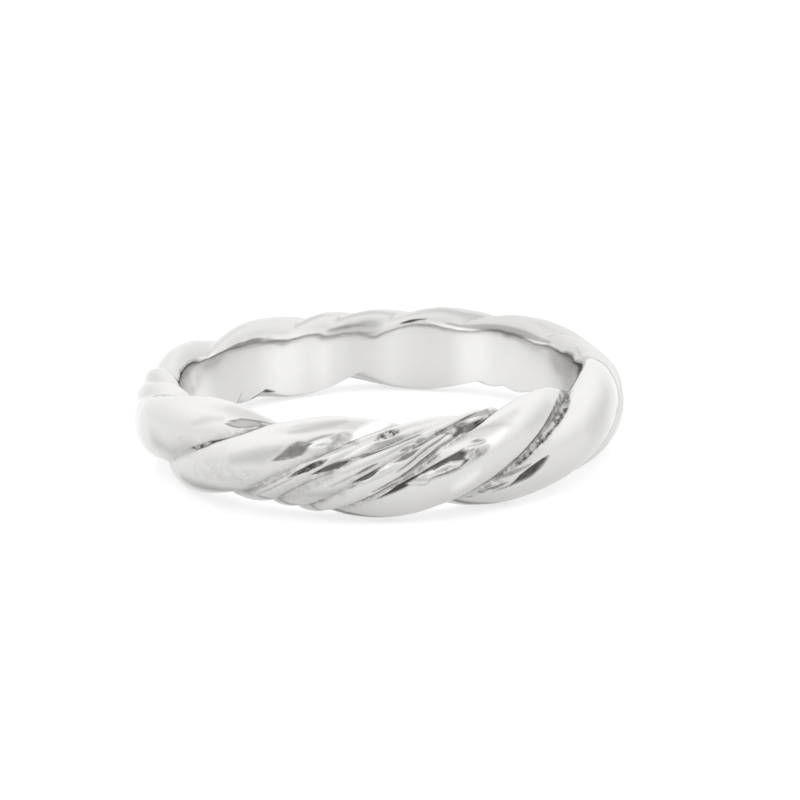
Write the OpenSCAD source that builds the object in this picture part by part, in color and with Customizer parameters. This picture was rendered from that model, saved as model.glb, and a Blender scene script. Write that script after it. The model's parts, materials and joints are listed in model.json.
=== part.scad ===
// Rope twist ring, one silver casting.
// Thick and fine strands are laid round the finger like a rope, four turns in all. The finger
// hole is bored through the rope, so the inside is a smooth cylinder and its rims rise and fall
// with the strands.
// The ring lies on its side: Z is the axis of the finger hole and the floor is z = 0.

/* [Finger hole] */
// Diameter of the finger hole
bore_d = 17.3; // [15:0.1:21]
// How far the finger hole cuts into the upper half of the rope
bore_cut = 0.35; // [0.35:0.05:0.6]

/* [Band] */
// Height of the band, measured along the finger
band_h = 4.3; // [3.4:0.1:5.4]
// Thickness of the band, from the finger hole to the outside of its thickest strands
wall_t = 2.3; // [1.8:0.1:2.8]

/* [Hidden] */

bore_r = bore_d / 2;
half_h = band_h / 2;

// The rope's section is an oval that is narrower towards the finger hole in its upper half
rope_w = wall_t + bore_cut;
outer_share = 0.64;
outer_w = rope_w * outer_share;
inner_w = rope_w - outer_w;
// Radius at which the middle of the section runs round the ring
rope_r = bore_r + wall_t - outer_w;

// Levels are shares of the half section. This one is usual at the upper rim of the finger hole
rim_level = 0.81;

// Angles in the rope's section: 0 faces out, 90 faces up and -90 faces down.
// The upper rim of the finger hole lies near this one
rim_angle = acos((bore_r - rope_r) / (inner_w * rim_level));
// From this one on the grooves run side by side, at this slope round the ring
free_angle = 90;
free_slope = 0.125;
// The modelled skin ends here, and a strip inside the finger hole closes it
skin_end = 162;
// Steps of the skin along the strands
skin_steps = 36;
// Flats round the finger hole where it is drawn faceted
bore_flats = 180;

// Turns of the rope round the ring
turns = 4;

// One row for each strand, in order round the ring. The columns are:
// the angle round the ring of the groove before the strand, underneath, outside and on top,
// the level of that groove outside, on top and underneath, and at the rim,
// the level of the strand's crest underneath, on top and at the rim,
// and the facets across the strand, of which every turn of the rope has as many.
STRANDS = [
    [-208, -178, -152, 0.82, 0.72, 0.80, 0.85, 0.99, 0.83, 14],
    [-167, -138, -117, 0.69, 0.64, 0.79, 0.96, 0.93, 0.83, 14],
    [-134, -111,  -85, 0.76, 0.70, 0.79, 0.82, 0.85, 0.82,  4],
    [-119, -102,  -68, 0.78, 0.72, 0.79, 0.83, 0.88, 0.82,  4],
    [-112,  -93,  -65, 0.78, 0.75, 0.79, 0.88, 0.88, 0.83,  4],
    [-108,  -84,  -61, 0.79, 0.77, 0.80, 0.98, 1.00, 0.83, 14],
    [ -80,  -59,  -33, 0.73, 0.66, 0.79, 0.96, 0.91, 0.83, 14],
    [ -48,  -20,    1, 0.77, 0.73, 0.79, 0.83, 0.86, 0.82,  6],
    [ -36,  -12,   13, 0.78, 0.75, 0.79, 0.83, 0.81, 0.83,  6],
    [ -22,    0,   27, 0.72, 0.72, 0.79, 0.94, 0.93, 0.85, 14],
    [  15,   35,   58, 0.72, 0.70, 0.79, 0.93, 0.90, 0.87, 14],
    [  40,   63,   83, 0.76, 0.70, 0.70, 0.79, 0.83, 0.75,  6],
    [  51,   77,  100, 0.75, 0.72, 0.73, 0.78, 0.83, 0.78,  6],
    [  60,   91,  113, 0.75, 0.71, 0.74, 1.00, 0.90, 0.81, 14],
    [ 100,  124,  146, 0.66, 0.63, 0.80, 0.98, 0.89, 0.81, 14],
    [ 133,  159,  180, 0.77, 0.73, 0.79, 0.85, 0.86, 0.83,  6],
    [ 144,  170,  194, 0.74, 0.69, 0.79, 0.86, 0.86, 0.83,  6],
];
count = len(STRANDS);

function mix(a, b, t) = a + (b - a) * t;

// Angle round the ring of the groove before strand i, at the section angle phi
function groove_angle(i, phi) =
    let (
        row = STRANDS[i % count],
        p = max(min(phi, free_angle), -free_angle),
        s = p / 90,
        lean = (row[2] - row[0]) / 2,
        bend = (row[2] + row[0]) / 2 - row[1]
    )
    row[1] + lean * s + bend * s * s + (phi - p) * free_slope + (i < count ? 0 : 360);

// Half width of the section
function side_w(phi) = phi > 90 ? inner_w : outer_w;

// Share of the way from the top to the upper rim of the finger hole
function inward(phi) = pow(max(min((phi - 90) / (rim_angle - 90), 1), 0), 2);

// Level of that groove
function groove_level(i, phi) =
    let (row = STRANDS[i % count])
    mix(mix(row[3], row[4], min(1 - cos(phi), 1)), row[5], inward(phi));

// Level of the crest of strand i
function crest_level(i, phi) =
    let (row = STRANDS[i])
    mix(mix(row[6], row[7], (1 + sin(phi)) / 2), row[8], inward(phi));

// Half of the angle that strand i takes up in the section, as seen from the rope's middle
function half_span(i, phi) =
    let (
        span = groove_angle(i + 1, phi) - groove_angle(i, phi),
        lean = (STRANDS[i][2] - STRANDS[i][0]) / 180
    )
    span / lean / 2;

// Level of a round strand at the angle a off its crest, if its grooves are at -half and half
function round_level(crest, groove, half, a) =
    let (offset = (crest * crest - groove * groove) / (2 * (crest - groove * cos(half))))
    offset * cos(a) + sqrt(pow(crest - offset, 2) - pow(offset * sin(a), 2));

// Point on the skin of strand i, at the share t of its width and the section angle phi
function skin_point(i, t, phi) =
    let (
        turn = mix(groove_angle(i, phi), groove_angle(i + 1, phi), t),
        half = half_span(i, phi),
        groove = groove_level(t < 0.5 ? i : i + 1, phi),
        level = round_level(crest_level(i, phi), groove, half, half * (2 * t - 1)),
        r = rope_r + side_w(phi) * level * cos(phi)
    )
    [r * cos(turn), r * sin(turn), half_h * (1 + level * sin(phi))];

// Columns of the skin, as pairs of a strand and a share of its width
columns = [for (i = [0:count - 1]) for (k = [0:STRANDS[i][9] - 1]) [i, k / STRANDS[i][9]]];
column_count = len(columns);

// Two triangles between the columns c and d of one row and the columns e and f of the next
function strip(c, d, e, f) = [[c, f, d], [c, e, f]];

// The laid rope before boring
module rope() {
    points = [
        for (s = [0:skin_steps]) for (c = columns)
            skin_point(c[0], c[1], mix(-skin_end, skin_end, s / skin_steps))
    ];
    skin = [
        for (s = [0:skin_steps - 1]) for (c = [0:column_count - 1])
            let (row = s * column_count, next = row + column_count, d = (c + 1) % column_count)
            each strip(row + c, row + d, next + c, next + d)
    ];
    // Inside the finger hole each strand meets the one that lies a turn of the rope further on
    last = skin_steps * column_count;
    shift = column_count / turns;
    closing = [
        for (c = [0:column_count - 1])
            let (e = (c + shift) % column_count, f = (c + shift + 1) % column_count)
            each strip(last + c, last + (c + 1) % column_count, e, f)
    ];
    polyhedron(points, concat(skin, closing));
}

module twist_band() {
    color("silver")
    difference() {
        rope();
        translate([0, 0, -band_h / 2])
        cylinder(h = 2 * band_h, r = bore_r, $fn = bore_flats);
    }
}

twist_band();
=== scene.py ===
import json
import math
from collections import namedtuple

import bpy
import numpy as np
from mathutils import Matrix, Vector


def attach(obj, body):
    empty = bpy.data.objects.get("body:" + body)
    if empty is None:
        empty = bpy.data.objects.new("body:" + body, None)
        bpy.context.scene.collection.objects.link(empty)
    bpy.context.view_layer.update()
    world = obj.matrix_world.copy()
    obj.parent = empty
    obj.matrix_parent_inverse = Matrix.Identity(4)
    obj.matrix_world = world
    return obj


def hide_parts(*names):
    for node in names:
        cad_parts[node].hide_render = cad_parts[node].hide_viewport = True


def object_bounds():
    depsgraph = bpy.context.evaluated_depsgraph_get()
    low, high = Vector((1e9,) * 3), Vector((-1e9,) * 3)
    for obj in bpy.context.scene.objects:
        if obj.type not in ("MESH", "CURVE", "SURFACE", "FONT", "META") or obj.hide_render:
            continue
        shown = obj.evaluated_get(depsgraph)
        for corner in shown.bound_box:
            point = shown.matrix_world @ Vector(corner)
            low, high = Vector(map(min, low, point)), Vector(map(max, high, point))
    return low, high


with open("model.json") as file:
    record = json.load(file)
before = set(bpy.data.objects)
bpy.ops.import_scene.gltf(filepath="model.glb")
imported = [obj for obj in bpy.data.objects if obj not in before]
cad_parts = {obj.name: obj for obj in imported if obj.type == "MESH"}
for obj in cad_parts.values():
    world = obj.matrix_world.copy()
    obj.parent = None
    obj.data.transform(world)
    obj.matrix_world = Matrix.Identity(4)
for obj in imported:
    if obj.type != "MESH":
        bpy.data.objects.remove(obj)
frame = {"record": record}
cad_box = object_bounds()

MM = 0.001

# Radius of the finger hole and height of the band, in mm, as the CAD model has them
finger_hole = frame["record"]["mounts"][0]
BORE_R = finger_hole["dims"]["r_mm"]
BAND_H = round((cad_box[1][2] - cad_box[0][2]) / MM, 3)
# Thickness of the band, and how far the finger hole cuts into the upper half of the rope, in mm
WALL_T = 2.3
BORE_CUT = 0.35

# The rope's section is an oval that is narrower towards the finger hole in its upper half
OUTER_SHARE = 0.64
HALF_H = BAND_H / 2
ROPE_W = WALL_T + BORE_CUT
OUTER_W = ROPE_W * OUTER_SHARE
INNER_W = ROPE_W - OUTER_W
# Radius at which the middle of the section runs round the ring
ROPE_R = BORE_R + WALL_T - OUTER_W

# Levels are shares of the half section. This one is usual at the upper rim of the finger hole
RIM_LEVEL = 0.81
# Angles of the section: 0 faces out, 90 faces up and -90 faces down. The rim lies near this one
RIM_ANGLE = math.degrees(math.acos((BORE_R - ROPE_R) / (INNER_W * RIM_LEVEL)))
# Beyond this one, above and below, the grooves run side by side. They move on round the ring by
# this many degrees for each degree of the section
FREE_ANGLE = 90
FREE_SLOPE = 0.125

# The finger hole's rims are rounded over about this length, in mm
RIM_SOFT = 0.10
# The grooves are rounded by this level, and painted dark, as shade, up to this level above their bottom
GROOVE_SOFT = 0.012
GROOVE_DARK = 0.10
# A groove's grain is this many times its painted shade, and 1 at most
GROOVE_GRAIN = 2

# The skin's rows run between these angles of the section, this far apart
SKIN_LOW = -150
SKIN_HIGH = 152
SKIN_STEP = 2.0
# The wall inside the finger hole lies between the skin's first and last row, this many mm off them
WALL_MARGIN = 0.12
WALL_ROWS = 6
WALL_COLUMNS = 420

# The ring's strands, in order round the ring and shaped as in the CAD model. The columns are:
# the angle round the ring of the groove before the strand, underneath, outside and on top,
# the level of that groove outside, on top and underneath, and at the rim,
# the level of the strand's crest underneath, on top and at the rim,
# the painted shade of that groove, and the columns of the mesh across the strand.
Strand = namedtuple("Strand", "under front top groove_out groove_side groove_rim "
                              "crest_low crest_high crest_rim groove_tone columns")
STRANDS = [
    Strand(-208, -178, -152, 0.82, 0.72, 0.80, 0.85, 0.99, 0.83, 0.05, 60),
    Strand(-167, -138, -117, 0.69, 0.64, 0.79, 0.96, 0.93, 0.83, 0.20, 80),
    Strand(-134, -111,  -85, 0.76, 0.70, 0.79, 0.82, 0.85, 0.82, 0.30, 26),
    Strand(-119, -102,  -68, 0.78, 0.72, 0.79, 0.83, 0.88, 0.82, 0.35, 22),
    Strand(-112,  -93,  -65, 0.78, 0.75, 0.79, 0.88, 0.88, 0.83, 0.35, 22),
    Strand(-108,  -84,  -61, 0.79, 0.77, 0.80, 0.98, 1.00, 0.83, 0.40, 84),
    Strand( -80,  -59,  -33, 0.73, 0.66, 0.79, 0.96, 0.91, 0.83, 0.40, 90),
    Strand( -48,  -20,    1, 0.77, 0.73, 0.79, 0.83, 0.86, 0.82, 0.02, 16),
    Strand( -36,  -12,   13, 0.78, 0.75, 0.79, 0.83, 0.81, 0.83, 0.02, 16),
    Strand( -22,    0,   27, 0.72, 0.72, 0.79, 0.94, 0.93, 0.85, 0.02, 36),
    Strand(  15,   35,   58, 0.72, 0.70, 0.79, 0.93, 0.90, 0.87, 0.02, 34),
    Strand(  40,   63,   83, 0.76, 0.70, 0.70, 0.79, 0.83, 0.75, 0.02, 14),
    Strand(  51,   77,  100, 0.75, 0.72, 0.73, 0.78, 0.83, 0.78, 0.02, 14),
    Strand(  60,   91,  113, 0.75, 0.71, 0.74, 1.00, 0.90, 0.81, 0.02, 34),
    Strand( 100,  124,  146, 0.66, 0.63, 0.80, 0.98, 0.89, 0.81, 0.02, 36),
    Strand( 133,  159,  180, 0.77, 0.73, 0.79, 0.85, 0.86, 0.83, 0.05, 14),
    Strand( 144,  170,  194, 0.74, 0.69, 0.79, 0.86, 0.86, 0.83, 0.05, 14),
]

# Marks on the strands, laid over one another in this order. Each has a height in mm (below zero
# is cut in), a tone (0 is plain silver, 0.9 nearly black, below zero brighter), an amount of
# grainy casting skin, the width of its soft edge in mm, and the path that it runs along: points
# with the angle round the ring, the angle of the section and the half width in mm.
# Most tones are painted light: above zero painted shade and painted dark reflections, below
# zero painted highlights; scratches and casting skin have their own tone.
# In their names a, b, d and e are the thick strands from left to right as seen from the camera,
# and c1 to c3 are the fine strands between b and d.
MARKS = {
    # painted soft shade and painted highlights on the strands; worn_b is grainy wear
    "shade_a": (0, 0.28, 0, 0.90, [(-150, 0, 0.25), (-144, -7, 0.20), (-137, 14, 0.08)]),
    "low_b": (0, 0.45, 0, 0.50, [
        (-141, -38, 0.10), (-133, -38, 0.22), (-125, -41, 0.22), (-121, -44, 0.10)]),
    "low_b_2": (0, 0.50, 0, 0.18, [(-122.5, -45, 0.07), (-120.5, -38, 0.10), (-117.5, -28, 0.04)]),
    "worn_b": (0, 0.03, 0.25, 0.60, [(-130, -8, 0.40), (-124, -8, 0.40), (-119, -6, 0.30)]),
    "shade_c": (0, 0.26, 0, 0.60, [(-113, -40, 0.05), (-106, -28, 0.12), (-99, -24, 0.08)]),
    "shade_d": (0, 0.16, 0, 1.0, [(-56, 39, 0.10), (-52, 50, 0.20), (-48, 62, 0.10)]),
    "shade_e": (0, 0.16, 0, 1.2, [(-37, 8, 0.30), (-31, 25, 0.35), (-25, 42, 0.20)]),
    "bright_d": (0, -0.45, 0, 0.35, [(-78, 26, 0.04), (-74.3, 30, 0.10), (-71, 35, 0.04)]),
    "bright_d_2": (0, -0.40, 0, 0.50, [(-75, -17, 0.10), (-72, -9, 0.15), (-70, -2, 0.05)]),
    "grey_d": (0, 0.20, 0, 0.30, [
        (-70, 48, 0.05), (-68, 50, 0.08), (-64.5, 48, 0.08), (-61, 44, 0.03)]),
    # painted shade on the edges underneath, next to the floor
    "edge_low_c": (0, 0.55, 0, 0.16, [
        (-119, -43, 0.02), (-117.5, -45, 0.08), (-112.5, -57, 0.09), (-108.8, -58, 0.09),
        (-104, -62, 0.03)]),
    "edge_low_d": (0, 0.75, 0, 0.20, [
        (-106, -74, 0.05), (-98, -73, 0.13), (-88, -70, 0.13), (-82, -66, 0.02)]),
    "edge_low_e": (0, 0.65, 0, 0.20, [
        (-78, -66, 0.03), (-71, -74, 0.13), (-62, -74, 0.10), (-56, -71, 0.02)]),
    # in the groove between the two strands on the left, with a row of small pits: cut in a little,
    # with painted shade and painted dark reflections, and leaf-shaped painted reflections beside it
    "valley_ab": (-0.02, 0.26, 0.2, 0.12, [
        (-145, -22, 0.08), (-139.5, 0, 0.10), (-134.5, 15, 0.10), (-130, 29, 0.07),
        (-126, 41, 0.05), (-122.5, 51, 0.02)]),
    "pits_ab": (-0.03, 0.62, 1.3, 0.07, [
        (-137.5, 8, 0.02), (-135.5, 12, 0.08), (-133.5, 18, 0.08), (-132, 23, 0.09),
        (-130.5, 28, 0.05)]),
    "line_ab": (-0.03, 0.84, 0.2, 0.05, [(-131.8, 26, 0.03), (-128, 34, 0.06), (-124.8, 42, 0.02)]),
    "line_ab_2": (-0.03, 0.66, 0, 0.05, [(-125, 44, 0.01), (-123.5, 49, 0.045), (-121, 54, 0.01)]),
    "rim_of_oval": (-0.01, 0.16, 0, 0.05, [
        (-139, 24, 0.02), (-140.5, 17, 0.03), (-139, 12, 0.03), (-135, 21, 0.02)]),
    "band_a": (-0.03, 0.12, 0, 0.25, [(-136.5, 41, 0.08), (-133.5, 51, 0.14), (-129.5, 62, 0.10)]),
    "edge_leaf_a": (-0.02, 0.62, 0, 0.05, [
        (-128, 58, 0.02), (-126.5, 62, 0.15), (-125, 67, 0.22), (-122.5, 75, 0.19),
        (-120, 83, 0.15), (-118, 90, 0.09), (-116.4, 97, 0.02)]),
    "leaf_a": (-0.03, 0.36, 0, 0.05, [
        (-127, 61, 0.07), (-125, 67, 0.17), (-122.5, 75, 0.13), (-121, 79, 0.10)]),
    "leaf_a_2": (0, 0.10, 0, 0.05, [(-120, 84, 0.07), (-118.4, 89, 0.04), (-117.4, 93, 0.01)]),
    # on the second of them: painted shade, a painted dark reflection (the oval), painted
    # highlights (the lens and the star), fine scratches and a grainy speckled patch
    "curl_b": (-0.01, 0.22, 0, 0.05, [(-134, -5, 0.02), (-134.6, -15, 0.02), (-133.4, -23, 0.02)]),
    "scratch_b": (-0.01, 0.18, 0, 0.05, [(-129, -8, 0.01), (-125.8, -13, 0.02), (-124, -15, 0.01)]),
    "scratch_b_2": (-0.01, 0.16, 0, 0.05, [
        (-120.6, 2, 0.01), (-121.2, -15, 0.02), (-121.7, -31, 0.01)]),
    "shade_b": (-0.03, 0.22, 0, 0.40, [(-123, 9, 0.10), (-116, 18, 0.24), (-112, 27, 0.10)]),
    "band_b": (-0.02, 0.15, 0, 0.16, [
        (-110, 52, 0.07), (-106, 59, 0.13), (-101.5, 69, 0.13), (-98, 78, 0.08)]),
    "edge_oval_b": (-0.02, 0.62, 0.4, 0.06, [
        (-113.2, 15, 0.03), (-111.4, 20, 0.12), (-109, 28, 0.24), (-107.5, 33, 0.25),
        (-106.3, 37, 0.13), (-105, 40, 0.02)]),
    "oval_b": (-0.05, 0.64, 0.1, 0.06, [
        (-111.6, 21, 0.07), (-109, 28, 0.19), (-107.6, 32, 0.20), (-106.8, 35, 0.11)]),
    "line_b": (-0.02, 0.40, 0, 0.05, [
        (-107, 38, 0.03), (-105, 44, 0.045), (-103, 50, 0.045), (-100.5, 56, 0.02)]),
    "grey_b": (-0.02, 0.24, 0.5, 0.07, [
        (-102.2, 43, 0.06), (-99.6, 50, 0.19), (-97.8, 54, 0.26), (-96, 47, 0.20),
        (-95, 42, 0.06)]),
    "lens_b": (0.03, -0.35, 0, 0.06, [(-105.4, 36, 0.05), (-103, 41, 0.13), (-101.2, 46, 0.09)]),
    "eye_b": (0, 0.16, 0, 0.05, [(-104, 38, 0.01), (-102.8, 40.5, 0.05), (-101.4, 43, 0.02)]),
    "line_b_2": (-0.03, 0.48, 0, 0.05, [
        (-105.5, 18, 0.02), (-103.5, 25, 0.04), (-101, 34, 0.04), (-98.2, 41, 0.02)]),
    "band_b_2": (-0.01, 0.24, 0.2, 0.08, [(-102.6, 24, 0.05), (-100, 32, 0.09), (-96.4, 41, 0.06)]),
    "star_b": (0.02, -0.75, 0, 0.36, [
        (-96.4, 52, 0.04), (-95.2, 58, 0.14), (-94, 66, 0.20), (-92, 76, 0.20), (-89, 90, 0.14)]),
    "speckle_b": (-0.03, 0.42, 1.9, 0.07, [
        (-90.8, 48, 0.05), (-89.4, 54, 0.17), (-87.8, 58, 0.19), (-85.4, 62, 0.03)]),
    # the groove after it, with fine lines along it: cut in, with painted shade and painted dark
    # reflections in them, and painted highlights beside them
    "lines_c1": (-0.02, 0.30, 0.2, 0.05, [
        (-124, -44, 0.02), (-120.4, -30, 0.04), (-116.2, -15, 0.04), (-112.2, 0, 0.02)]),
    "lines_c1_2": (-0.03, 0.36, 0.3, 0.05, [
        (-120.6, -41, 0.02), (-117.7, -30, 0.04), (-113.7, -15, 0.04), (-109.7, 0, 0.03)]),
    "lines_c1_3": (-0.02, 0.30, 0.2, 0.05, [
        (-118.6, -41, 0.02), (-115.8, -30, 0.04), (-111.8, -15, 0.04), (-108, -2, 0.02)]),
    "line_c1": (-0.02, 0.38, 0, 0.05, [(-109, 0, 0.02), (-106, 9, 0.035), (-103, 20, 0.02)]),
    "crease_c1": (-0.09, 0.76, 0.7, 0.06, [
        (-110, -6, 0.01), (-108, 1, 0.07), (-106, 7, 0.11), (-104.5, 12, 0.11), (-103, 16, 0.10),
        (-101.6, 20, 0.02)]),
    "valley_c1": (-0.05, 0.20, 0.3, 0.16, [
        (-112.5, -44, 0.16), (-109, -28, 0.18), (-105.5, -15, 0.17), (-102, -5, 0.12),
        (-99.5, 1, 0.05)]),
    "leaf_c1": (-0.09, 0.80, 0.1, 0.05, [
        (-105, 0, 0.01), (-103, 5, 0.06), (-101.5, 9, 0.11), (-100, 12, 0.12), (-98.6, 16, 0.08),
        (-96.8, 20, 0.02)]),
    "line_c1_2": (-0.02, 0.42, 0, 0.05, [
        (-101.5, 14, 0.01), (-98.5, 20, 0.035), (-95.5, 24, 0.02)]),
    "line_c2": (-0.04, 0.52, 0.1, 0.05, [
        (-96.5, 23, 0.02), (-94, 27, 0.035), (-92, 30, 0.045), (-87, 39, 0.045),
        (-84.5, 45, 0.06), (-81.5, 51, 0.04)]),
    "bright_c3": (0.02, -0.55, 0, 0.10, [(-98, 23, 0.02), (-94.6, 33.5, 0.05), (-91.4, 43, 0.02)]),
    "dot_c1": (-0.03, 0.40, 0.3, 0.06, [(-101.4, 2, 0.05), (-100, 6, 0.07)]),
    "line_c3": (-0.03, 0.34, 0.2, 0.06, [(-101, -14, 0.02), (-98, -5, 0.04), (-95.5, 3, 0.02)]),
    "crease_c3": (-0.06, 0.66, 0.2, 0.05, [
        (-95.5, 2, 0.02), (-94, 7, 0.05), (-92.4, 12, 0.05), (-91, 16, 0.02)]),
    "crease_c3_2": (-0.06, 0.78, 0.1, 0.05, [
        (-96.2, -10, 0.02), (-94.5, -5, 0.06), (-93, -1, 0.075), (-91.5, 5, 0.05),
        (-90.2, 11, 0.02)]),
    "dot_c3": (-0.03, 0.55, 0.2, 0.05, [(-97, -18, 0.03), (-95.8, -13, 0.04)]),
    "sparkle_c3": (0.02, -0.25, 1.0, 0.08, [(-90.5, 7, 0.05), (-88, 15, 0.10), (-85.8, 22, 0.07)]),
    # between the fine strands and the first thick one to their right: cut-in lines and pits,
    # with painted shade and painted dark reflections in them
    "line_top": (-0.05, 0.56, 0.2, 0.05, [
        (-86.8, 6, 0.02), (-84.5, 14, 0.045), (-82, 25, 0.05), (-80, 33, 0.05),
        (-77.5, 41, 0.045), (-75.5, 49, 0.02)]),
    "leaf_top": (-0.05, 0.62, 0.3, 0.05, [
        (-87, 18, 0.02), (-85.5, 21.5, 0.10), (-84, 26, 0.10), (-82, 32, 0.03)]),
    "leaf_top_2": (-0.04, 0.48, 0.4, 0.05, [
        (-85.8, 32, 0.04), (-84.5, 35, 0.06), (-82.5, 38, 0.02)]),
    "dot_top": (-0.03, 0.50, 0.4, 0.05, [(-82.7, 41, 0.03), (-81.5, 44, 0.08), (-80.6, 46, 0.03)]),
    "ridge_d": (0.05, -0.10, 0.8, 0.08, [(-93, -26, 0.03), (-89.5, -12, 0.07), (-86, -1, 0.06)]),
    "line_top_2": (-0.07, 0.60, 0.4, 0.06, [
        (-92, -20, 0.02), (-88, -7, 0.05), (-84.5, 3, 0.06), (-82, 14, 0.07), (-79.5, 24, 0.07),
        (-77.5, 33, 0.06), (-75, 40, 0.05), (-73, 48, 0.03)]),
    "pits_top": (-0.03, 0.46, 1.0, 0.08, [
        (-77.4, 54, 0.10), (-75, 55, 0.18), (-72.5, 57, 0.18), (-70, 62, 0.08)]),
    "dots_top": (-0.04, 0.70, 0.6, 0.05, [(-75.8, 50, 0.04), (-74.6, 48, 0.05)]),
    "wedge_d": (-0.04, 0.76, 0.3, 0.06, [
        (-74.4, 45, 0.03), (-72.5, 51, 0.10), (-70, 57, 0.12), (-67, 64, 0.12), (-63.6, 75, 0.02)]),
    "grey_top": (-0.02, 0.48, 0.2, 0.06, [
        (-71.8, 65, 0.05), (-69, 74, 0.15), (-66, 80, 0.18), (-63, 86, 0.08)]),
    # on that thick strand: cut-in edges and pits with painted shade and painted dark reflections,
    # painted highlights, and casting skin
    "edge_d": (-0.10, 0.94, 0.1, 0.05, [
        (-91.4, -35, 0.01), (-88.5, -25, 0.05), (-86.5, -17, 0.10), (-85, -12, 0.10),
        (-83.7, -6, 0.06), (-82.3, -1, 0.02)]),
    "arc_d": (-0.08, 0.84, 0.1, 0.05, [
        (-82.4, -1, 0.02), (-80, 6, 0.05), (-78, 11, 0.07), (-76, 15, 0.10), (-74.5, 17, 0.15),
        (-73.2, 18.5, 0.19)]),
    "arc_d_2": (-0.05, 0.74, 0.2, 0.05, [(-72.2, 20, 0.08), (-72.2, 14, 0.10), (-73.5, 7, 0.03)]),
    "drop_d": (0.06, -0.10, 0.5, 0.06, [
        (-80.2, 0, 0.02), (-78, 4, 0.13), (-76, 8, 0.13), (-74.4, 10, 0.07)]),
    "eye_d": (-0.02, 0.34, 0.3, 0.05, [(-78.8, 2.5, 0.02), (-77.4, 5, 0.06), (-76, 7.5, 0.03)]),
    "line_low_d": (-0.03, 0.60, 0, 0.05, [
        (-80.2, -5, 0.01), (-78, -1, 0.045), (-76, 2, 0.045), (-73.8, 6, 0.02)]),
    "rim_of_lens": (-0.01, 0.34, 0, 0.04, [
        (-85, -13, 0.02), (-82.5, -9, 0.14), (-81, -8, 0.11), (-80, -5, 0.02)]),
    "lens_d": (0.01, 0.05, 0, 0.04, [
        (-84.4, -12, 0.01), (-82.5, -9, 0.09), (-81, -8, 0.07), (-80.5, -6.5, 0.01)]),
    "mark_d": (-0.03, 0.60, 0.1, 0.05, [(-71, 33, 0.01), (-69.5, 33.5, 0.06), (-67.8, 30, 0.03)]),
    "mark_d_2": (-0.02, 0.38, 0, 0.05, [(-71.8, 28, 0.01), (-70, 27.5, 0.035), (-68.3, 28, 0.02)]),
    "skin_d": (-0.02, 0.28, 0.9, 0.08, [
        (-72.2, 16, 0.08), (-70.4, 19, 0.19), (-68.6, 21, 0.15), (-67.6, 24, 0.03)]),
    "star_d": (0.01, -0.34, 0, 0.34, [
        (-68.4, 24, 0.03), (-67, 27, 0.16), (-65, 31, 0.14), (-62.6, 38, 0.03)]),
    # the wide groove after it, with casting skin all along; it and its pits are painted dark as shade
    "groove_e": (-0.01, 0.46, 1.0, 0.10, [
        (-68, -42, 0.04), (-65, -27, 0.13), (-62.5, -15, 0.17), (-60, -6, 0.17), (-58, 2, 0.17),
        (-56, 12, 0.19), (-52.5, 22, 0.22), (-49.5, 34, 0.25), (-46, 49, 0.27), (-42, 64, 0.26),
        (-38, 80, 0.20), (-34, 95, 0.14), (-29, 112, 0.10)]),
    "left_e": (-0.02, 0.66, 0.3, 0.05, [
        (-68.5, -30, 0.01), (-66, -23, 0.04), (-64.5, -13, 0.045), (-62, -4, 0.045),
        (-59, 5, 0.045), (-56.5, 15, 0.045), (-53.5, 27, 0.045), (-50, 41, 0.06),
        (-45.5, 57, 0.06), (-43, 67, 0.03)]),
    "right_e": (-0.02, 0.66, 1.0, 0.06, [
        (-59, -7, 0.03), (-57.5, -1, 0.05), (-55, 8, 0.045), (-52.5, 17, 0.05), (-49.5, 27, 0.05),
        (-46.5, 36, 0.07), (-42.5, 50, 0.10), (-39.5, 62, 0.12), (-36.5, 76, 0.10),
        (-33, 92, 0.05)]),
    "wedge_e": (-0.03, 0.52, 0.3, 0.06, [
        (-63.2, -24, 0.04), (-61, -19, 0.08), (-59, -15, 0.07), (-56.5, -10, 0.03)]),
    "skin_e": (0.02, 0.22, 1.0, 0.08, [(-67.5, -39, 0.08), (-66, -34, 0.13), (-63.5, -30, 0.10)]),
    "pit_e": (-0.10, 0.86, 0.1, 0.05, [
        (-61.8, -39, 0.01), (-60, -33, 0.06), (-58.5, -27, 0.14), (-57, -22, 0.18),
        (-55, -15.5, 0.17), (-53.5, -10, 0.12), (-51.8, -4, 0.02)]),
    "tail_e": (-0.03, 0.62, 0, 0.05, [(-64.7, -46, 0.01), (-63, -41, 0.03), (-61, -37, 0.03)]),
    "low_e": (-0.04, 0.74, 0.2, 0.05, [(-68, -47, 0.05), (-67, -48, 0.03)]),
    "low_e_2": (-0.04, 0.58, 0.4, 0.05, [(-66.7, -44, 0.05), (-64, -39, 0.07), (-62, -32, 0.03)]),
    "dot_e": (-0.02, 0.48, 0.2, 0.05, [(-70.5, -59, 0.04), (-69.5, -57, 0.04)]),
    # at the back, just above the finger hole's rim: patches of painted shade, a painted highlight,
    # and one shallow dimple, also painted a little darker
    "bright_back": (0, -0.50, 0, 0.20, [(74, 134, 0.03), (69.5, 138, 0.08), (62, 140, 0.03)]),
    "shade_patch_1": (0, 0.90, 0, 0.10, [
        (74.5, 129.5, 0.02), (77, 131, 0.05), (79.5, 133.5, 0.10), (82.5, 136, 0.05)]),
    "shade_patch_2": (0, 0.30, 0, 0.18, [(95, 134, 0.05), (100, 136, 0.12), (105, 138, 0.05)]),
    "shade_patch_3": (0, 0.10, 0, 0.18, [(116, 118, 0.05), (119, 126, 0.10), (122, 132, 0.05)]),
    "dimple_4": (-0.03, 0.18, 0, 0.20, [(147, 116, 0.06), (150.5, 128, 0.14), (154, 138, 0.06)]),
    "shade_back": (0, 0.42, 0, 0.14, [
        (68, 133, 0.05), (60, 134, 0.16), (54, 134, 0.20), (46, 133, 0.20), (38, 132, 0.20),
        (31, 131, 0.16), (26, 133, 0.06)]),
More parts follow.
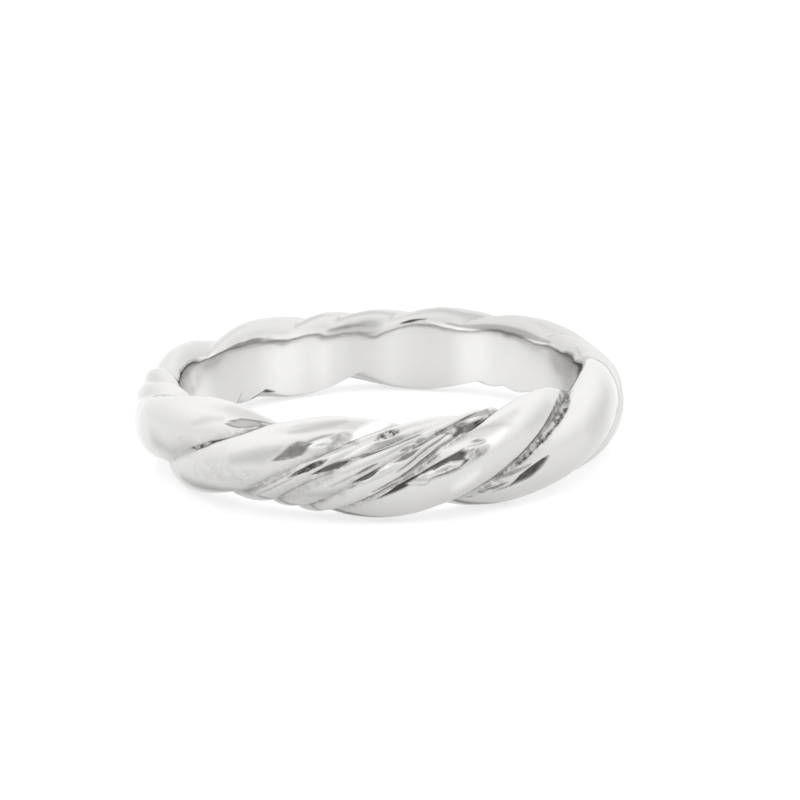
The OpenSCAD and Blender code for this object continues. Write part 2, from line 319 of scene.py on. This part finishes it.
    "shade_back_2": (0, 0.26, 0, 0.10, [(10, 114, 0.04), (7, 116, 0.07), (3, 118, 0.04)]),
    # painted shade where the wall meets the strands underneath
    "shade_under_wall": (0, 0.78, 0.2, 0.08, [
        (125.5, -118, 0.04), (128.5, -118, 0.16), (131.5, -118, 0.16), (134.5, -118, 0.05)]),
    # a shallow groove under the wall is filled, and painted a little brighter as a highlight
    "fill": (0.16, -0.10, 0, 0.30, [(142.5, -104, 0.10), (141, -118, 0.20), (139.5, -134, 0.20)]),
}

# Painted reflections on the wall inside the finger hole, as a tone by the angle round the ring: darker
# bands above zero, brighter bands below zero
WALL_REFLECTIONS = [
    (-180, -0.60), (-170, -0.50), (-10, -0.20), (4, 0.08), (10, 0.28), (15, 0.24), (18, 0.05),
    (24, -0.15), (28, -0.28), (41, -0.30), (50, -0.34), (56, -0.48), (61, -0.44), (67, -0.12),
    (74, -0.06), (82, -0.14), (86, -0.22), (92, -0.06), (98, -0.03), (104, -0.18), (108, -0.38),
    (113, -0.28), (118, -0.44), (124, -0.48), (132, -0.20), (140, -0.10), (150, -0.12),
    (158, -0.50), (165, -0.70), (180, -0.60),
]
# Painted shade on the strands, by the angle round the ring, which makes them a little darker at the back
STRAND_SHADE = [
    (-180, 0.10), (-155, 0), (-20, 0), (-5, 0.05), (20, 0.15), (60, 0.17), (80, 0.10), (110, 0.08),
    (140, 0.10), (180, 0.10),
]

# Slight unevenness of the polished strands: waves round the ring, waves round the section, phase
# and height in mm
WAVES = [
    (23, 2, 1.1, 0.0050),
    (-31, 3, 4.0, 0.0045),
    (47, -4, 2.2, 0.0030),
    (61, 5, 0.4, 0.0022),
    (-83, 7, 5.1, 0.0014),
]


def mix(a, b, t):
    return a + (b - a) * t


def soft_step(x):
    """Soft step from 0 to 1, where x goes from 0 to 1."""
    x = np.clip(x, 0, 1)
    return x * x * (3 - 2 * x)


def wrapped(turn):
    """The same angle round the ring, between -180 and 180."""
    return (turn + 180) % 360 - 180


def strand(i):
    return STRANDS[i % len(STRANDS)]


def groove_angle(i, phi):
    """Angle round the ring of the groove before strand i, at the angle phi of the section."""
    row = strand(i)
    p = np.clip(phi, -FREE_ANGLE, FREE_ANGLE)
    s = p / 90
    lean = (row.top - row.under) / 2
    bend = (row.top + row.under) / 2 - row.front
    return row.front + lean * s + bend * s * s + (phi - p) * FREE_SLOPE + 360 * (i // len(STRANDS))


def inward(phi):
    """Goes from 0 on top to 1 at the upper rim of the finger hole, slowly at first."""
    return np.clip((phi - 90) / (RIM_ANGLE - 90), 0, 1) ** 2


def groove_level(i, phi):
    """Level of the groove before strand i."""
    row = strand(i)
    sideways = np.minimum(1 - np.cos(np.radians(phi)), 1)
    return mix(mix(row.groove_out, row.groove_side, sideways), row.groove_rim, inward(phi))


def crest_level(i, phi):
    """Level of the crest of strand i."""
    row = strand(i)
    upward = (1 + np.sin(np.radians(phi))) / 2
    return mix(mix(row.crest_low, row.crest_high, upward), row.crest_rim, inward(phi))


def round_level(crest, groove, half, a):
    """Level of a round strand at the angle a off its crest, if its grooves are at -half and half."""
    offset = (crest ** 2 - groove ** 2) / (2 * (crest - groove * np.cos(half)))
    return offset * np.cos(a) + np.sqrt(np.maximum((crest - offset) ** 2 - (offset * np.sin(a)) ** 2, 0))


def laid_strands(phi):
    """Angle round the ring, level and painted groove shade, with a row for each angle of the section."""
    turns, levels, tones = [], [], []
    for i, row in enumerate(STRANDS):
        t = (np.arange(row.columns) / row.columns)[None, :]
        start, end = groove_angle(i, phi)[:, None], groove_angle(i + 1, phi)[:, None]
        lean = (row.top - row.under) / 180
        half = np.radians((end - start) / lean / 2)
        crest = crest_level(i, phi)[:, None]
        groove = np.where(t < 0.5, groove_level(i, phi)[:, None], groove_level(i + 1, phi)[:, None])
        rise = round_level(crest, groove, half, half * (2 * t - 1)) - groove
        turns.append(start + (end - start) * t)
        levels.append(groove + np.sqrt(rise ** 2 + GROOVE_SOFT ** 2))
        # painted shade in the groove, darkest at its bottom
        depth = np.clip(1 - rise / GROOVE_DARK, 0, 1) ** 2
        tones.append(depth * np.where(t < 0.5, row.groove_tone, strand(i + 1).groove_tone))
    return [np.concatenate(part, axis=1) for part in (turns, levels, tones)]


# The marks are laid out as if the skin were flat. They lie at about this radius round the ring,
# and the section has about this radius there, in mm
MARKS_R = ROPE_R + 0.6 * OUTER_W
SECTION_R = 1.75
# Lengths in mm of a degree round the ring and of a degree of the section
TURN_MM = math.radians(1) * MARKS_R
PHI_MM = math.radians(1) * SECTION_R


def along(path, turn, phi):
    """Distance to a path, and the path's half width at its nearest point."""
    best = np.full(turn.shape, np.inf)
    width = np.zeros(turn.shape)
    for (t0, p0, w0), (t1, p1, w1) in zip(path, path[1:]):
        ax, ay = t0 * TURN_MM, p0 * PHI_MM
        dx, dy = t1 * TURN_MM - ax, p1 * PHI_MM - ay
        x, y = turn * TURN_MM - ax, phi * PHI_MM - ay
        k = np.clip((x * dx + y * dy) / (dx * dx + dy * dy), 0, 1)
        dist = np.hypot(x - k * dx, y - k * dy)
        near = dist < best
        best = np.where(near, dist, best)
        width = np.where(near, mix(w0, w1, k), width)
    return best, width


def tone_round(table, turn):
    """Tone from a table, at an angle round the ring."""
    angles, tones = zip(*table)
    return np.interp(wrapped(turn), angles, tones)


def marked(turn, phi, tone, grain):
    """Lift in mm, tone and grain of the skin once the marks are laid over it. The tone is mostly painted
    shade, and below zero painted highlight.
    """
    turn = wrapped(turn)
    lift = np.zeros(turn.shape)
    for height, mark_tone, mark_grain, soft, path in MARKS.values():
        dist, width = along(path, turn, phi)
        k = soft_step((width - dist) / soft + 0.5)
        lift += height * k
        tone = mix(tone, mark_tone, k)
        grain = mix(grain, mark_grain, k)
    return lift, tone, grain


def unevenness(turn, phi):
    return sum(height * np.sin(np.radians(around * turn + across * phi) + phase)
               for around, across, phase, height in WAVES)


def soft_bore(r):
    """Radius after boring, with a small rounding where the skin meets the wall."""
    over = r - BORE_R
    blend = np.maximum(RIM_SOFT - np.abs(over), 0)
    return BORE_R + np.maximum(over, 0) + blend ** 2 / (4 * RIM_SOFT)


# Part of the ring's surface: angle round the ring, radius and height in mm, tone and grain, each
# a grid of rows that run round the ring
Grid = namedtuple("Grid", "turn r z tone grain")


def strand_grid():
    """The strands, from the finger hole's lower rim over the outside and the top to its upper rim."""
    rows = int(round((SKIN_HIGH - SKIN_LOW) / SKIN_STEP)) + 1
    angles = np.linspace(SKIN_LOW, SKIN_HIGH, rows)
    turn, level, groove_tone = laid_strands(angles)
    phi = np.repeat(angles[:, None], turn.shape[1], axis=1)
    cos_p, sin_p = np.cos(np.radians(phi)), np.sin(np.radians(phi))
    side = np.where(phi > 90, INNER_W, OUTER_W)
    # 1 where the finger hole cuts the strands back to its wall, 0 elsewhere
    bored = 1 - np.clip((ROPE_R + side * level * cos_p - BORE_R) / RIM_SOFT, 0, 1)
    # painted shade of the grooves and of the back of the ring; where the finger hole cuts the strands,
    # the wall's painted reflections instead
    tone = np.maximum(groove_tone, tone_round(STRAND_SHADE, turn))
    tone = mix(tone, tone_round(WALL_REFLECTIONS, turn), bored)
    grain = np.clip(groove_tone * GROOVE_GRAIN, 0, 1)
    lift, tone, grain = marked(turn, phi, tone, grain)
    lift = lift + unevenness(turn, phi)
    r = soft_bore(ROPE_R + (side * level + lift) * cos_p)
    z = HALF_H + (HALF_H * level + lift) * sin_p
    return Grid(turn, r, z, tone, grain)


def wall_grid(top, bottom):
    """The wall inside the finger hole, with its painted reflections, from the height top down to bottom.
    """
    heights = np.linspace(top, bottom, WALL_ROWS)
    angles = np.linspace(0, 360, WALL_COLUMNS, endpoint=False)
    turn, z = np.meshgrid(angles, heights)
    r = np.full(turn.shape, BORE_R)
    return Grid(turn, r, z, tone_round(WALL_REFLECTIONS, turn), np.zeros(turn.shape))


def grid_faces(index):
    """Quads between the rows of a grid that closes round the ring."""
    ahead = np.roll(index, -1, axis=1)
    return np.stack([index[:-1], ahead[:-1], ahead[1:], index[1:]], axis=-1).reshape(-1, 4).tolist()


def seam_faces(turn_a, index_a, turn_b, index_b):
    """Triangles between two rings of points with different angles round the ring."""
    def sorted_ring(turn, index):
        order = np.argsort(turn % 360)
        angles = (turn % 360)[order]
        return np.append(angles, angles[0] + 360), np.append(index[order], index[order][0])
    (ta, ia), (tb, ib) = sorted_ring(turn_a, index_a), sorted_ring(turn_b, index_b)
    faces = []
    a = b = 0
    while a < len(index_a) or b < len(index_b):
        if b == len(index_b) or (a < len(index_a) and ta[a + 1] <= tb[b + 1]):
            faces.append((int(ia[a]), int(ia[a + 1]), int(ib[b])))
            a += 1
        else:
            faces.append((int(ia[a]), int(ib[b + 1]), int(ib[b])))
            b += 1
    return faces


def ring_mesh():
    """The strands and the wall inside the finger hole, closed by a seam at either rim."""
    outer = strand_grid()
    wall = wall_grid(outer.z[-1].min() - WALL_MARGIN, outer.z[0].max() + WALL_MARGIN)
    turn, r, z, tone, grain = (np.concatenate([a.ravel(), b.ravel()]) for a, b in zip(outer, wall))
    angle = np.radians(turn)
    points = np.stack([r * np.cos(angle), r * np.sin(angle), z], axis=-1) * MM
    outer_index = np.arange(outer.turn.size).reshape(outer.turn.shape)
    wall_index = np.arange(wall.turn.size).reshape(wall.turn.shape) + outer.turn.size
    faces = grid_faces(outer_index) + grid_faces(wall_index)
    faces += seam_faces(outer.turn[-1], outer_index[-1], wall.turn[0], wall_index[0])
    faces += seam_faces(wall.turn[-1], wall_index[-1], outer.turn[0], outer_index[0])
    mesh = bpy.data.meshes.new("ring_skin")
    mesh.from_pydata(points.tolist(), [], faces)
    # tone above zero is mostly painted shade; below zero it is stored as painted highlight
    shades = {"tone": np.clip(tone, 0, 1), "painted_highlight": np.clip(-tone, 0, 1), "grain": grain}
    for name, values in shades.items():
        layer = mesh.attributes.new(name, "FLOAT", "POINT")
        layer.data.foreach_set("value", values.astype(np.float32))
    mesh.polygons.foreach_set("use_smooth", np.ones(len(mesh.polygons), dtype=bool))
    mesh.update()
    return mesh


class NodeTree:
    """The emptied node tree of a material or a world, with short ways to fill it."""

    def __init__(self, owner):
        owner.use_nodes = True
        self.nodes = owner.node_tree.nodes
        self.links = owner.node_tree.links
        self.nodes.clear()

    def add(self, kind, inputs=None, **settings):
        """New node. Each input is set to a value or linked to another node's output."""
        node = self.nodes.new(kind)
        for name, value in settings.items():
            setattr(node, name, value)
        for name, value in (inputs or {}).items():
            if isinstance(value, bpy.types.NodeSocket):
                self.links.new(value, node.inputs[name])
            else:
                node.inputs[name].default_value = value
        return node

    def attribute(self, name):
        return self.add("ShaderNodeAttribute", attribute_name=name).outputs["Fac"]

    def noise(self, place, scale, detail):
        inputs = {"Vector": place, "Scale": scale, "Detail": detail}
        return self.add("ShaderNodeTexNoise", inputs).outputs["Fac"]

    def plus(self, a, b):
        return self.add("ShaderNodeMath", {0: a, 1: b}, operation="ADD").outputs[0]

    def times(self, a, b):
        return self.add("ShaderNodeMath", {0: a, 1: b}, operation="MULTIPLY").outputs[0]

    def ramp(self, value, low, high, start, end, kind="SMOOTHSTEP"):
        """Goes from start to end where the value goes from low to high."""
        inputs = {"Value": value, "From Min": low, "From Max": high, "To Min": start, "To Max": end}
        return self.add("ShaderNodeMapRange", inputs, interpolation_type=kind).outputs["Result"]

    def blend(self, factor, a, b):
        """Colour a where the factor is 0, and b where it is 1."""
        inputs = {"Factor": factor, "A": a, "B": b}
        return self.add("ShaderNodeMix", inputs, data_type="RGBA").outputs["Result"]


# Colours of the silver: plain, at its brightest for painted highlights, and darkened for painted shade
# in pits and grooves
PLAIN = (0.585, 0.58, 0.57, 1)
BRIGHT = (0.96, 0.955, 0.945, 1)
DARKENED = (0.055, 0.053, 0.05, 1)
# Tone at which the silver is as dark as that
DARKEST_TONE = 0.9
# Noises: cells for each metre, and octaves
SPECKLE = (7000, 2)
PATCHES = (3200, 2)
CLOUDS = (420, 3)
# What the noises turn into: the range of the noise, and the tone or roughness at its two ends
SPECKLE_TONE = (0.36, 0.60, -0.5, 0.5)
PATCHES_TONE = (0.40, 0.58, -0.8, 0.8)
CLOUDS_ROUGHNESS = (0.3, 0.75, 0.11, 0.19)
# What the casting skin's grain adds to tone, roughness and relief
GRAIN_TONE = 0.22
GRAIN_ROUGHNESS = 0.16
GRAIN_RELIEF = 1.4
# Relief of the clouds, and the strength and height in mm of all relief
CLOUDS_RELIEF = 1.6
RELIEF_STRENGTH = 0.35
RELIEF_HEIGHT = 0.02


def silver():
    """Polished silver, with painted shade and painted dark reflections in pits and grooves, painted
    highlights, and painted reflections on the finger hole's wall; grainy where the casting skin is left.
    """
    material = bpy.data.materials.new("polished_silver")
    tree = NodeTree(material)
    # the tone attribute carries painted shade, the next one painted highlights
    tone, painted_highlight, grain = tree.attribute("tone"), tree.attribute("painted_highlight"), tree.attribute("grain")
    place = tree.add("ShaderNodeTexCoord").outputs["Object"]
    speckle, patches, clouds = (tree.noise(place, *noise) for noise in (SPECKLE, PATCHES, CLOUDS))

    # the casting skin breaks the tone up into dark and bright specks
    specks = tree.plus(tree.ramp(speckle, *SPECKLE_TONE), tree.ramp(patches, *PATCHES_TONE))
    broken = tree.plus(tone, tree.times(tree.times(specks, grain), GRAIN_TONE))
    dark = tree.ramp(broken, 0, DARKEST_TONE, 0, 1, kind="LINEAR")
    # painted highlights lighten the silver, and painted shade darkens it
    colour = tree.blend(dark, tree.blend(painted_highlight, PLAIN, BRIGHT), DARKENED)

    rough = tree.plus(tree.ramp(clouds, *CLOUDS_ROUGHNESS), tree.times(grain, GRAIN_ROUGHNESS))
    relief = tree.plus(tree.times(speckle, tree.times(grain, GRAIN_RELIEF)),
                       tree.times(clouds, CLOUDS_RELIEF))
    bump = tree.add("ShaderNodeBump", {
        "Height": relief, "Strength": RELIEF_STRENGTH, "Distance": RELIEF_HEIGHT * MM})
    shader = tree.add("ShaderNodeBsdfPrincipled", {
        "Metallic": 1, "Base Color": colour, "Roughness": rough, "Normal": bump.outputs[0]})
    tree.add("ShaderNodeOutputMaterial", {"Surface": shader.outputs[0]})
    return material


# The sheet glows, as if lit from beneath, which keeps shadows faint
SHEET_GLOW = 0.60
SHEET_WHITE = 0.48


def white_sheet():
    """Matt white sheet, lit from above and from beneath."""
    material = bpy.data.materials.new("white_sheet")
    tree = NodeTree(material)
    matt = tree.add("ShaderNodeBsdfDiffuse", {"Color": (SHEET_WHITE, SHEET_WHITE, SHEET_WHITE, 1)})
    glow = tree.add("ShaderNodeEmission", {"Color": (1, 1, 1, 1), "Strength": SHEET_GLOW})
    both = tree.add("ShaderNodeAddShader", {0: matt.outputs[0], 1: glow.outputs[0]})
    tree.add("ShaderNodeOutputMaterial", {"Surface": both.outputs[0]})
    return material


# Half the floor's side, in metres
FLOOR_HALF = 1.5


def floor_mesh():
    """One square around the ring, at z = 0."""
    low, high = -FLOOR_HALF, FLOOR_HALF
    corners = [(low, low, 0), (high, low, 0), (high, high, 0), (low, high, 0)]
    mesh = bpy.data.meshes.new("floor")
    mesh.from_pydata(corners, [], [(0, 1, 2, 3)])
    return mesh


# Light of the white tent at its foot, half way up and overhead
TENT_FOOT = 1.25
TENT_MIDDLE = 1.54
TENT_TOP = 1.24
# The middle light lies between these heights, where the foot is 0 and overhead is 1
MIDDLE_LOW = 0.72
MIDDLE_HIGH = 0.78
# Darker places in the tent: azimuth, elevation, inner and outer radius in degrees, darkening
TENT_GAPS = [
    (180, 12, 12, 48, 0.15),
    (158, 20, 5, 16, 0.30),
]


def direction(azimuth, elevation):
    """Unit vector; azimuth 0 is away from the camera and 90 is to its right."""
    a, e = math.radians(azimuth), math.radians(elevation)
    return (math.sin(a) * math.cos(e), math.cos(a) * math.cos(e), math.sin(e))


def light_tent():
    """Soft white light from all sides, with two slightly darker places behind the camera."""
    world = bpy.data.worlds.new("light_tent")
    tree = NodeTree(world)
    place = tree.add("ShaderNodeTexCoord").outputs["Generated"]
    height = tree.add("ShaderNodeSeparateXYZ", {0: place}).outputs["Z"]
    strength = tree.plus(tree.ramp(height, 0, MIDDLE_LOW, TENT_FOOT, TENT_MIDDLE),
                         tree.ramp(height, MIDDLE_HIGH, 1, 0, TENT_TOP - TENT_MIDDLE))
    for azimuth, elevation, inner, outer, darkening in TENT_GAPS:
        facing = tree.add("ShaderNodeVectorMath", {0: place, 1: direction(azimuth, elevation)},
                          operation="DOT_PRODUCT").outputs["Value"]
        edge, middle = math.cos(math.radians(outer)), math.cos(math.radians(inner))
        strength = tree.times(strength, tree.ramp(facing, edge, middle, 1, 1 - darkening))
    light = tree.add("ShaderNodeBackground", {"Color": (1, 1, 1, 1), "Strength": strength})
    tree.add("ShaderNodeOutputWorld", {"Surface": light.outputs[0]})
    return world


# The camera: angles in degrees, and distance, focal length and sensor in mm
CAMERA_RISE = 16.26
CAMERA_ROLL = 1.67
CAMERA_DISTANCE = 83.0
CAMERA_LENS = 85.05
SENSOR_WIDTH = 36
# Nearest and furthest that it sees, in metres
CLIP_START = 0.005
CLIP_END = 10
# Where the middle of the ring shows in the 800 x 800 frame
AIM_PIXEL = (380.0, 398.7)
FRAME_PIXELS = 800


def front_camera():
    """Camera in front of the ring, a little above it."""
    lens = bpy.data.cameras.new("camera")
    lens.lens = CAMERA_LENS
    lens.sensor_width = SENSOR_WIDTH
    lens.clip_start = CLIP_START
    lens.clip_end = CLIP_END
    lens.shift_x = (FRAME_PIXELS / 2 - AIM_PIXEL[0]) / FRAME_PIXELS
    lens.shift_y = (AIM_PIXEL[1] - FRAME_PIXELS / 2) / FRAME_PIXELS
    camera = bpy.data.objects.new("camera", lens)
    bpy.context.collection.objects.link(camera)
    rise, roll = math.radians(CAMERA_RISE), math.radians(CAMERA_ROLL)
    camera.location = (0, -CAMERA_DISTANCE * math.cos(rise) * MM,
                       (HALF_H + CAMERA_DISTANCE * math.sin(rise)) * MM)
    tilt = Matrix.Rotation(math.pi / 2 - rise, 3, "X")
    camera.rotation_euler = (tilt @ Matrix.Rotation(-roll, 3, "Z")).to_euler()
    return camera


def add_object(name, mesh, material):
    piece = bpy.data.objects.new(name, mesh)
    bpy.context.collection.objects.link(piece)
    piece.data.materials.append(material)
    return piece


ring = add_object("rope_twist", ring_mesh(), silver())
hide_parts("twist_band")
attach(ring, "root")

floor = add_object("floor", floor_mesh(), white_sheet())

scene = bpy.context.scene
scene.world = light_tent()
scene.camera = front_camera()
scene.view_settings.view_transform = "Standard"
scene.view_settings.look = "None"
scene.view_settings.exposure = 0.0
scene.view_settings.gamma = 1.0
